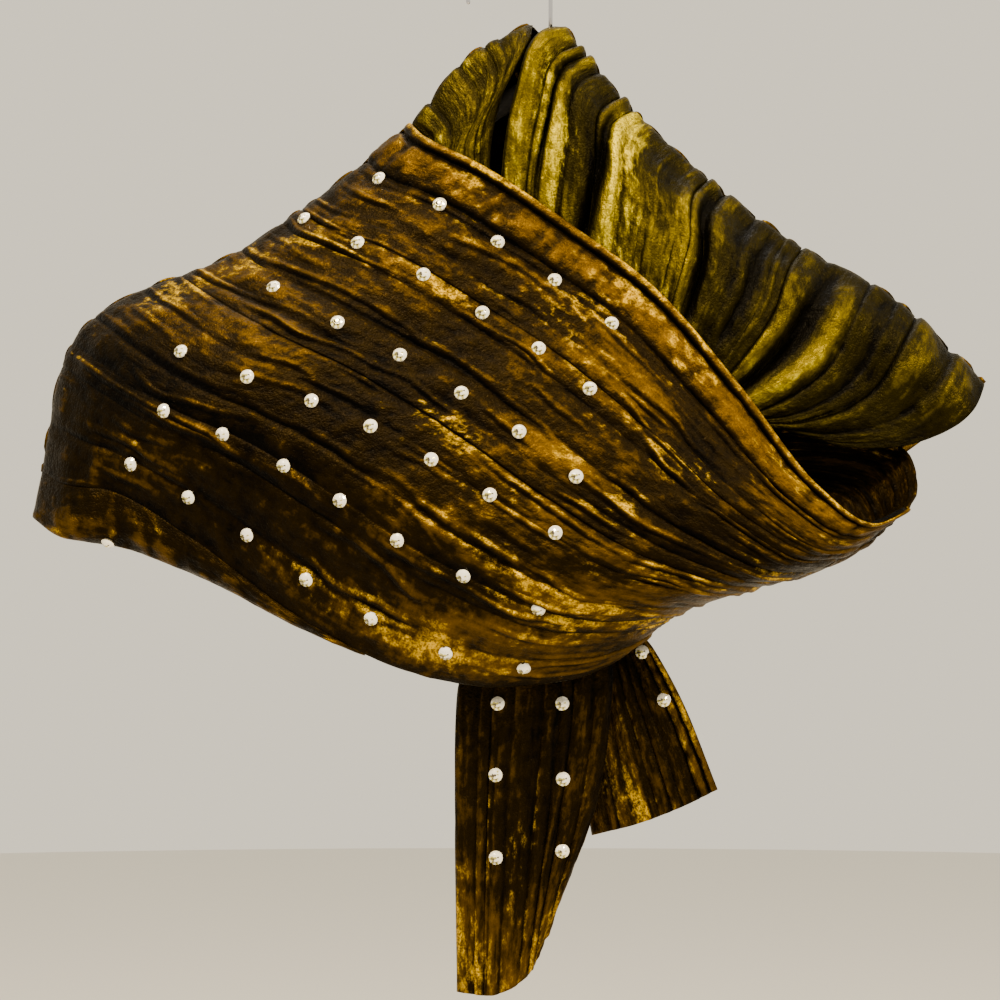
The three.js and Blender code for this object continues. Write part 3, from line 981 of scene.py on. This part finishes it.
@dataclass(frozen=True)
class CrushedVelvet:
    """Rayon-pile velvet, pressed damp into pleats so that the pile lies every way.

    Its colour holds painted shade and light: near-black painted shade in the creases, dull brown
    slopes, and broken, grainy gold painted highlights in random patches, on ridges and where the
    painted light falls, longer along the pleats than across them. crease, pile, lit and glint
    are its colours, from the painted shade of the deepest crease to the painted gold highlight.
    """

    name: str
    crease: str
    pile: str
    lit: str
    glint: str
    highlight_share: float
    grainy: float
    streak_mm: tuple[float, float] = (15.0, 3.0)
    patch_mm: tuple[float, float] = (50.0, 26.0)
    crush_mm: tuple[float, float] = (6.5, 5.0)
    fleck_mm: tuple[float, float] = (3.4, 2.4)
    grain_mm: float = 1.1

    def build(self) -> bpy.types.Material:
        """Make the velvet's material."""
        material = new_material(self.name)
        tree = material.node_tree
        cloth = add_node(tree, "ShaderNodeUVMap", {}, uv_map="cloth").outputs["UV"]
        place = add_node(tree, "ShaderNodeTexCoord", {}).outputs["Object"]
        # The two attributes carry the relief, which paints shade into creases and light onto ridges, and
        # the painted light and shade of each point.
        relief = add_node(tree, "ShaderNodeAttribute", {}, attribute_name="relief").outputs["Fac"]
        painted_light = add_node(tree, "ShaderNodeAttribute", {}, attribute_name="painted_light").outputs["Fac"]

        def cloth_noise(size: tuple[float, float], detail: float, rough: float) -> bpy.types.NodeSocket:
            """Add a noise of one size along and across the cloth, in millimetres."""
            scale = (1 / (size[0] * MM), 1 / (size[1] * MM), 1.0)
            spread = add_node(tree, "ShaderNodeMapping", {"Vector": cloth, "Scale": scale})
            inputs = {"Vector": spread.outputs[0], "Scale": 1.0, "Detail": detail, "Roughness": rough}
            return add_node(tree, "ShaderNodeTexNoise", inputs).outputs["Fac"]

        def total(start: float, *parts: tuple[bpy.types.NodeSocket, float]) -> Any:
            """Add up sockets, each times its share, from a start."""
            made = start
            for socket, share in parts:
                inputs = {0: socket, 1: share, 2: made}
                made = add_node(tree, "ShaderNodeMath", inputs, operation="MULTIPLY_ADD").outputs[0]
            return made

        def between(socket: Any, low: float, high: float, to: tuple[float, float]) -> bpy.types.NodeSocket:
            """Ease a socket's run from low to high over to another run."""
            inputs = {"Value": socket, "From Min": low, "From Max": high, "To Min": to[0], "To Max": to[1]}
            return add_node(tree, "ShaderNodeMapRange", inputs, interpolation_type="SMOOTHSTEP").outputs[0]

        streak = cloth_noise(self.streak_mm, 4.0, 0.6)
        patch = cloth_noise(self.patch_mm, 2.0, 0.5)
        crush = cloth_noise(self.crush_mm, 4.0, 0.62)
        grain_inputs = {"Vector": place, "Scale": 1 / (self.grain_mm * MM), "Detail": 1.0, "Roughness": 0.6}
        grain = add_node(tree, "ShaderNodeTexNoise", grain_inputs).outputs["Fac"]
        fleck = cloth_noise(self.fleck_mm, 3.0, 0.7)
        # Painted shade and light: the ramp runs from near-black in low creases to the lit colour on ridges,
        # by the relief and the painted light, with random tone from the noises.
        shade = total(-0.5, (painted_light, 0.5), (crush, 0.6), (streak, 0.4), (relief, 0.9))
        ramp = add_node(tree, "ShaderNodeValToRGB", {"Fac": shade})
        stops = ramp.color_ramp.elements
        stops[0].position = 0.2
        stops[0].color = linear(self.crease)
        stops[1].position = 0.9
        stops[1].color = linear(self.lit)
        stop = stops.new(0.5)
        stop.color = linear(self.pile)
        # Painted highlights: gold is mixed in where random patches, raised relief and the painted light are
        # high, broken up by the grain.
        gold = total(-2.34, (painted_light, 1.15), (streak, 0.3), (relief, 0.75), (crush, 1.7), (patch, 1.9))
        amount = between(gold, 0.55 - self.highlight_share, 1.15 - self.highlight_share, (0.0, 1.0))
        speckle = between(total(0.0, (grain, 0.4), (fleck, 0.6)), 0.41, 0.59, (1 - self.grainy, 1.0))
        mixed = add_node(tree, "ShaderNodeMath", {0: amount, 1: speckle}, operation="MULTIPLY").outputs[0]
        colour = add_node(
            tree,
            "ShaderNodeMix",
            {"Factor": mixed, MIX_FROM: ramp.outputs["Color"], MIX_TO: linear(self.glint)},
            data_type="RGBA",
        )
        height = total(0.0, (grain, 0.25), (fleck, 0.4), (streak, 0.25), (crush, 0.8))
        bump = add_node(tree, "ShaderNodeBump", {"Height": height, "Strength": 0.85, "Distance": 1.6 * MM})
        surface = add_node(
            tree,
            "ShaderNodeBsdfPrincipled",
            {
                "Base Color": colour.outputs[MIX_RESULT],
                "Roughness": between(grain, 0.3, 0.7, (0.36, 0.56)),
                "Normal": bump.outputs[0],
                "Metallic": 0.7,
                "Specular IOR Level": 0.06,
                "Sheen Weight": 0.03,
                "Sheen Roughness": 0.35,
                "Sheen Tint": linear(self.glint),
            },
        )
        add_node(tree, "ShaderNodeOutputMaterial", {"Surface": surface.outputs[0]})
        return material


@dataclass(frozen=True)
class PlainFinish:
    """A hard, even finish, such as plated wire, paint or cut crystal."""

    name: str
    colour: str
    roughness: float
    metallic: float = 0.0
    coat: float = 0.0
    mottle_mm: float = 6.0
    mottle: float = 0.06

    def build(self) -> bpy.types.Material:
        """Make the material, with a slight unevenness in its polish."""
        material = new_material(self.name)
        tree = material.node_tree
        place = add_node(tree, "ShaderNodeTexCoord", {}).outputs["Object"]
        uneven = add_node(
            tree, "ShaderNodeTexNoise", {"Vector": place, "Scale": 1 / (self.mottle_mm * MM), "Detail": 3.0}
        )
        rough = add_node(
            tree,
            "ShaderNodeMapRange",
            {
                "Value": uneven.outputs["Fac"],
                "To Min": max(0.02, self.roughness - self.mottle),
                "To Max": self.roughness + self.mottle,
            },
        )
        surface = add_node(
            tree,
            "ShaderNodeBsdfPrincipled",
            {
                "Base Color": linear(self.colour),
                "Metallic": self.metallic,
                "Roughness": rough.outputs[0],
                "Coat Weight": self.coat,
            },
        )
        add_node(tree, "ShaderNodeOutputMaterial", {"Surface": surface.outputs[0]})
        return material


# Crushed velvet: bronze pile outside, olive gold inside.
BRONZE_VELVET = CrushedVelvet(
    "crushed bronze velvet", "#020100", "#160e00", "#5a4000", "#c8a000", highlight_share=0.2, grainy=0.92
)
OLIVE_VELVET = CrushedVelvet(
    "crushed olive velvet", "#030200", "#1d1800", "#635500", "#baa800", highlight_share=0.18, grainy=0.75
)
# Bright nickel-chrome plating on drawn steel wire.
PLATED_WIRE = PlainFinish("chromed steel wire", "#c9c9cf", 0.14, metallic=1.0)
# Dark satin stove enamel on a hanger's bar.
SATIN_ENAMEL = PlainFinish("dark satin enamel", "#120c05", 0.8)
# Foil-backed lead crystal: some facets carry a painted highlight, some a painted dark reflection
# of the velvet round them, and the table shows the foil's yellow green.
CRYSTAL_PAINTED_HIGHLIGHT = PlainFinish("crystal facet with painted highlight", "#f8f4e4", 0.1, metallic=0.3, coat=0.5)
CRYSTAL_PAINTED_DARK = PlainFinish("crystal facet with painted dark reflection", "#5a5240", 0.08, metallic=0.7, coat=0.5)
CRYSTAL_FOIL = PlainFinish("foil-backed crystal table", "#bdb458", 0.1, metallic=0.5, coat=0.6)
# Matt painted board.
PALE_FLOOR = PlainFinish("matt pale floor", "#d9d6cf", 0.8)


@dataclass
class Velvet:
    """All the stretches of the stole, each a thin sheet on its solid's form."""

    finishes: dict[Side, bpy.types.Material] = field(default_factory=dict)
    grids: dict[str, tuple[Grid, Grid]] = field(default_factory=dict)

    def build(self) -> None:
        """Make every stretch and dress it in its finish."""
        self.finishes = {Side.FACE: BRONZE_VELVET.build(), Side.REVERSE: OLIVE_VELVET.build()}
        for stretch in STRETCHES:
            self.add_stretch(stretch)

    def add_stretch(self, stretch: Stretch) -> None:
        """Make one stretch.

        Args:
            stretch: its table of sections.
        """
        points, outward, relief = stretch.surface()
        self.grids[stretch.node] = (points, outward)
        length = stretch.length_mm()
        s = stretch.places()
        shares = stretch.shares()
        strip = ((s * length + stretch.start_mm)[:, None], (shares * stretch.strip_mm())[None, :])
        painted_light = stretch.painted_light(s, shares, relief)
        piece = cloth_object(stretch.node + "_cloth", points, relief, painted_light, strip, stretch.mirrored)
        self.dress(piece, stretch.node, stretch.side)

    def dress(self, piece: bpy.types.Object, node: str, side: Side) -> None:
        """Give a sheet its finish, attach it to the root and hide the solid that it stands for.

        Args:
            piece: the sheet.
            node: the solid that it stands for.
            side: the side of the velvet that it shows.
        """
        piece.data.materials.append(self.finishes[side])
        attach(piece, "root")
        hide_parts(node)


@dataclass
class TurnedBorder:
    """The lower border at the left, rolled under along the front panel's hem.

    drop, swell, tuck and lean give its section at even steps along the hem: how far it hangs
    down, stands out, reaches back and leans outwards.
    """

    drop: tuple[float, ...] = (24, 28, 29, 25, 19, 13, 8, 4, 0.6)
    swell: tuple[float, ...] = (4, 5.5, 5.5, 5.5, 4.5, 4, 3, 2, 0.4)
    tuck: tuple[float, ...] = (6, 16, 23, 25, 25, 22, 17, 11, 3)
    lean: tuple[float, ...] = (5, 2, 0, 0, 0, 0, 0, 0, 0)
    panel_rows: int = 13
    row_mm: float = 25.0
    round_mm: float = 60.0
    round_steps: int = 44
    above_hem: float = 0.4
    lit: float = 0.12
    lit_crinkle: float = 0.14
    seed: int = 31
    crinkles: tuple[Ripple, ...] = (
        Ripple(2.2, 6.5, 16),
        Ripple(1.1, 3.4, 6, (9, 0)),
        Ripple(1.2, 18, 7, (0, 5)),
    )

    def build(self, velvet: Velvet) -> None:
        """Make the border below the front panel's finished hem.

        Args:
            velvet: the stole's stretches, with the front panel made.
        """
        panel = velvet.grids["front_panel"][0]
        reach = (len(self.drop) - 1) / self.panel_rows
        rows = round(reach * FRONT_PANEL.steps)
        hem = panel[: rows + 1, -1]
        place = np.arange(rows + 1) / FRONT_PANEL.steps * self.panel_rows
        knots = np.arange(len(self.drop))
        drop, swell, tuck, lean = (
            np.interp(place, knots, part)[:, None] for part in (self.drop, self.swell, self.tuck, self.lean)
        )
        turn = np.linspace(0, math.pi, self.round_steps + 1)[None, :]
        along = (place * self.row_mm)[:, None]
        over = turn / math.pi * self.round_mm
        crush = Crush(self.seed)
        crinkle = sum(ripple.at(crush, along, over) for ripple in self.crinkles) * np.sin(turn)
        points = np.stack(
            [
                -lean * np.sin(turn),
                tuck * (1 - np.cos(turn)) / 2 - (swell + crinkle) * np.sin(turn),
                self.above_hem - drop * np.sin(turn),
            ],
            axis=-1,
        )
        points = points + hem[:, None, :]
        outward = cross_lines(np.gradient(points, axis=1), np.gradient(points, axis=0))
        velvet.grids["turned_border"] = (points, outward)
        # Painted light: the roll's outer face is painted lighter, and each crinkle slope lighter or darker
        # by how it rises.
        painted_light = self.lit * np.sin(turn) + self.lit_crinkle * np.tanh(np.gradient(crinkle, axis=0))
        piece = cloth_object("turned_border_cloth", points, crinkle, painted_light, (along, over), False)
        velvet.dress(piece, "turned_border", Side.FACE)


@dataclass
class Hanger:
    """The wire hook and the painted bar of the coat hanger.

    wire is the wire's thickness, bend the radius of the hook's middle line, and sweep its turn.
    dome gives the rings that round the tip: each one's size beside the last, and how far on it is
    in radii of the wire.
    """

    wire: float = 2.2
    bend: float = 22.0
    sweep: float = math.pi + 0.2
    dome: tuple[tuple[float, float], ...] = ((0.8, 0.5), (0.45, 0.35))
    foot: float = -70.0
    sides: int = 20
    bend_steps: int = 48

    def build(self) -> None:
        """Make the hook anew, finely, and paint the bar."""
        centre = Vector((0, 0, self.wire / 2 - self.bend)) * MM
        wire = bmesh.new()
        at = Matrix.Translation(Vector((self.bend, 0, self.foot)) * MM)
        radius = self.wire / 2 * MM
        bmesh.ops.create_circle(wire, cap_ends=False, segments=self.sides, radius=radius, matrix=at)
        ring = wire.edges[:]
        foot = bmesh.ops.contextual_create(wire, geom=ring)["faces"]
        bmesh.ops.reverse_faces(wire, faces=foot)
        raised = bmesh.ops.extrude_edge_only(wire, edges=ring)["geom"]
        top = [part for part in raised if isinstance(part, bmesh.types.BMVert)]
        bmesh.ops.translate(wire, verts=top, vec=(0, 0, centre.z - self.foot * MM))
        edges = [part for part in raised if isinstance(part, bmesh.types.BMEdge)]
        turned = bmesh.ops.spin(
            wire,
            geom=edges,
            cent=centre,
            axis=(0, -1, 0),
            angle=self.sweep,
            steps=self.bend_steps,
            use_merge=False,
        )["geom_last"]
        tip = [part for part in turned if isinstance(part, bmesh.types.BMEdge)]
        self.round_tip(wire, tip, centre)
        bmesh.ops.recalc_face_normals(wire, faces=wire.faces)
        for face in wire.faces:
            face.smooth = True
        piece = add_object("hook_wire", wire)
        piece.data.materials.append(PLATED_WIRE.build())
        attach(piece, "root")
        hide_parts("hanger_hook")
        bar = bpy.data.objects["hanger_bar"]
        bar.data.materials.clear()
        bar.data.materials.append(SATIN_ENAMEL.build())
        LOG.info("hanger: hook of %.1f mm wire, %d faces", self.wire, len(piece.data.polygons))

    def round_tip(self, wire: bmesh.types.BMesh, tip: list[bmesh.types.BMEdge], centre: Vector) -> None:
        """Close the wire's open end with a low dome.

        Args:
            wire: the wire so far.
            tip: the edges of its open end.
            centre: the centre of the hook's bend.
        """
        angle = self.sweep
        onward = Vector((-math.sin(angle), 0, math.cos(angle)))
        middle = centre + Vector((math.cos(angle), 0, math.sin(angle))) * self.bend * MM
        for size, ahead in self.dome:
            grown = bmesh.ops.extrude_edge_only(wire, edges=tip)["geom"]
            verts = [part for part in grown if isinstance(part, bmesh.types.BMVert)]
            tip = [part for part in grown if isinstance(part, bmesh.types.BMEdge)]
            bmesh.ops.translate(wire, verts=verts, vec=onward * ahead * self.wire / 2 * MM)
            for vert in verts:
                beside = vert.co - middle
                ahead_by = beside.dot(onward)
                vert.co = middle + onward * ahead_by + (beside - onward * ahead_by) * size
        bmesh.ops.contextual_create(wire, geom=tip)


@dataclass(frozen=True)
class StoneRow:
    """A row of stones along a stretch.

    over is the first stone's share of the stretch's width and drift what each next one adds.
    first and step are shares of its length.
    """

    over: float
    first: float
    step: float
    count: int
    drift: float = 0.0


def stone_rows() -> dict[str, tuple[StoneRow, ...]]:
    """Give the rows of stones, 40 mm apart, that each stretch carries."""
    return {
        "front_panel": (
            StoneRow(0.132, 0.062, 0.107, 5, 0.003),
            StoneRow(0.3, 0.032, 0.104, 6, 0.002),
            StoneRow(0.462, 0.12, 0.107, 6, 0.001),
            StoneRow(0.682, 0.15, 0.096, 7, -0.009),
            StoneRow(0.8, 0.198, 0.1, 7, -0.003),
            StoneRow(0.936, 0.18, 0.107, 7, 0.002),
        ),
        "back_stretch": (
            StoneRow(0.36, 0.965, -0.125, 3),
            StoneRow(0.48, 0.9, -0.125, 3),
            StoneRow(0.6, 0.965, -0.125, 3),
            StoneRow(0.73, 0.9, -0.125, 3),
            StoneRow(0.85, 0.965, -0.125, 3),
        ),
        "turned_border": (StoneRow(0.4, 0.25, 0.1, 1),),
        "front_tail": (StoneRow(0.28, 0.579, 0.121, 3, 0.02), StoneRow(0.642, 0.579, 0.124, 3, 0.085)),
        "rear_tail": (StoneRow(0.86, 0.51, 0.18, 2),),
    }


class Cut(Enum):
    """What a facet shows: a painted highlight, a painted dark reflection, or the foil behind it."""

    PAINTED_HIGHLIGHT = 0
    PAINTED_DARK = 1
    FOIL = 2


@dataclass(frozen=True)
class StoneTier:
    """One ring of a stone's facets: its radii and height in millimetres, and its cuts in turn."""

    low: float
    top: float
    high: float
    facets: int
    cuts: tuple[Cut, Cut]


@dataclass
class Stones:
    """Round flat-backed crystals glued to the velvet in a staggered lattice.

    A stone lies on the higher part of the cloth within reach grid steps of its middle, and is
    sunk a little into the pile there.
    """

    # Each tier's cuts give its facets a painted highlight, a painted dark reflection or the foil.
    tiers: tuple[StoneTier, ...] = (
        StoneTier(3.8, 3.65, 0.7, 16, (Cut.PAINTED_DARK, Cut.PAINTED_DARK)),
        StoneTier(3.65, 2.7, 0.9, 16, (Cut.PAINTED_HIGHLIGHT, Cut.PAINTED_HIGHLIGHT)),
        StoneTier(2.7, 1.9, 0.5, 16, (Cut.PAINTED_HIGHLIGHT, Cut.FOIL)),
        StoneTier(1.9, 0.7, 0.5, 12, (Cut.FOIL, Cut.PAINTED_DARK)),
    )
    rows: dict[str, tuple[StoneRow, ...]] = field(default_factory=stone_rows)
    reach: int = 2
    bearing_percent: float = 85.0
    sunk: float = 0.4

    def build(self, velvet: Velvet) -> None:
        """Make the stones of each stretch as one piece that lies on its cloth.

        Args:
            velvet: the stole's stretches.
        """
        looks = [look.build() for look in (CRYSTAL_PAINTED_HIGHLIGHT, CRYSTAL_PAINTED_DARK, CRYSTAL_FOIL)]
        for node, rows in self.rows.items():
            points, outward = velvet.grids[node]
            setting = bmesh.new()
            for row in rows:
                for k in range(row.count):
                    place = (row.first + k * row.step, row.over + k * row.drift)
                    self.add_stone(setting, points, outward, place)
            piece = add_object(node + "_stones", setting)
            for look in looks:
                piece.data.materials.append(look)
            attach(piece, "root")
            LOG.info("%s: %d faces", piece.name, len(piece.data.polygons))

    def add_stone(
        self, setting: bmesh.types.BMesh, points: Grid, outward: Grid, place: tuple[float, float]
    ) -> None:
        """Set one stone on the cloth.

        Args:
            setting: the mesh that it joins.
            points: the stretch's grid in millimetres.
            outward: the grid's outward vectors.
            place: its shares of the stretch's length and width.
        """
        j, i = (round(share * (size - 1)) for share, size in zip(place, points.shape[:2]))
        up = Vector(outward[j, i])
        near = points[
            max(0, j - self.reach) : j + self.reach + 1,
            max(0, i - self.reach) : i + self.reach + 1,
        ]
        lift = float(np.percentile((near - points[j, i]) @ outward[j, i], self.bearing_percent))
        seat = Vector(points[j, i]) + up * (lift + CLOTH_MM / 2 - self.sunk)
        turn = up.to_track_quat("Z", "X").to_matrix().to_4x4()
        for tier in self.tiers:
            at = Matrix.Translation((seat + up * tier.high / 2) * MM) @ turn
            first = len(setting.faces)
            bmesh.ops.create_cone(
                setting,
                cap_ends=True,
                segments=tier.facets,
                radius1=tier.low * MM,
                radius2=tier.top * MM,
                depth=tier.high * MM,
                matrix=at,
            )
            setting.faces.ensure_lookup_table()
            for face in setting.faces[first:]:
                face.material_index = tier.cuts[0].value
            sides = [face for face in setting.faces[first:] if len(face.verts) == 4]
            for face in sides[1::2]:
                face.material_index = tier.cuts[1].value
            seat = seat + up * tier.high


@dataclass(frozen=True)
class Lamp:
    """A square area light that faces the stole: its place and side in metres, power and colour."""

    name: str
    place: Point
    size: float
    watts: float
    colour: str


@dataclass
class Studio:
    """A plain pale floor, soft studio light and the photograph's viewpoint, in metres."""

    distance: float = 2.0
    lens: float = 135.85
    aim: tuple[float, float] = (-0.0048, -0.2889)
    floor: float = -0.75
    floor_radius: float = 3.0
    world: str = "#fbf0d8"
    world_strength: float = 1.15
    lamps: tuple[Lamp, ...] = (
        Lamp("key", (-0.35, -0.75, 0.85), 0.25, 46.0, "#ffe9c4"),
        Lamp("side", (0.9, -0.8, 0.6), 0.25, 30.0, "#ffe9c4"),
        Lamp("top", (0.1, 0.5, 1.2), 0.7, 10.0, "#fff6e8"),
    )

    def build(self) -> None:
        """Make the camera, the floor, the lights and the pale surround."""
        camera = bpy.data.cameras.new("camera")
        camera.lens = self.lens
        camera.sensor_width = 36.0
        holder = bpy.data.objects.new("camera", camera)
        holder.location = (self.aim[0], -self.distance, self.aim[1])
        holder.rotation_euler = (math.pi / 2, 0, 0)
        bpy.context.scene.collection.objects.link(holder)
        bpy.context.scene.camera = holder
        self.add_floor()
        for lamp in self.lamps:
            self.add_light(lamp)
        world = bpy.data.worlds.new("surround")
        world.use_nodes = True
        background = world.node_tree.nodes["Background"]
        background.inputs["Color"].default_value = linear(self.world)
        background.inputs["Strength"].default_value = self.world_strength
        bpy.context.scene.world = world

    def add_floor(self) -> None:
        """Make the round pale floor."""
        disc = bmesh.new()
        at = Matrix.Translation((0, 0, self.floor))
        bmesh.ops.create_circle(disc, cap_ends=True, segments=96, radius=self.floor_radius, matrix=at)
        piece = add_object("floor", disc)
        piece.data.materials.append(PALE_FLOOR.build())

    def add_light(self, lamp: Lamp) -> None:
        """Add a soft area light that faces the stole.

        Args:
            lamp: what it is and where it stands.
        """
        light = bpy.data.lights.new(lamp.name, "AREA")
        light.size = lamp.size
        light.energy = lamp.watts
        light.color = linear(lamp.colour)[:3]
        holder = bpy.data.objects.new(lamp.name, light)
        holder.location = lamp.place
        middle = Vector((0, 0, self.aim[1]))
        holder.rotation_euler = (middle - Vector(lamp.place)).to_track_quat("-Z", "Y").to_euler()
        bpy.context.scene.collection.objects.link(holder)


def main() -> None:
    """Load the frame and build every piece in order."""
    logging.basicConfig(level=logging.INFO, format="%(name)s: %(message)s")
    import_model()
    Studio().build()
    velvet = Velvet()
    velvet.build()
    TurnedBorder().build(velvet)
    Hanger().build()
    Stones().build(velvet)


if __name__ == "__main__":
    main()
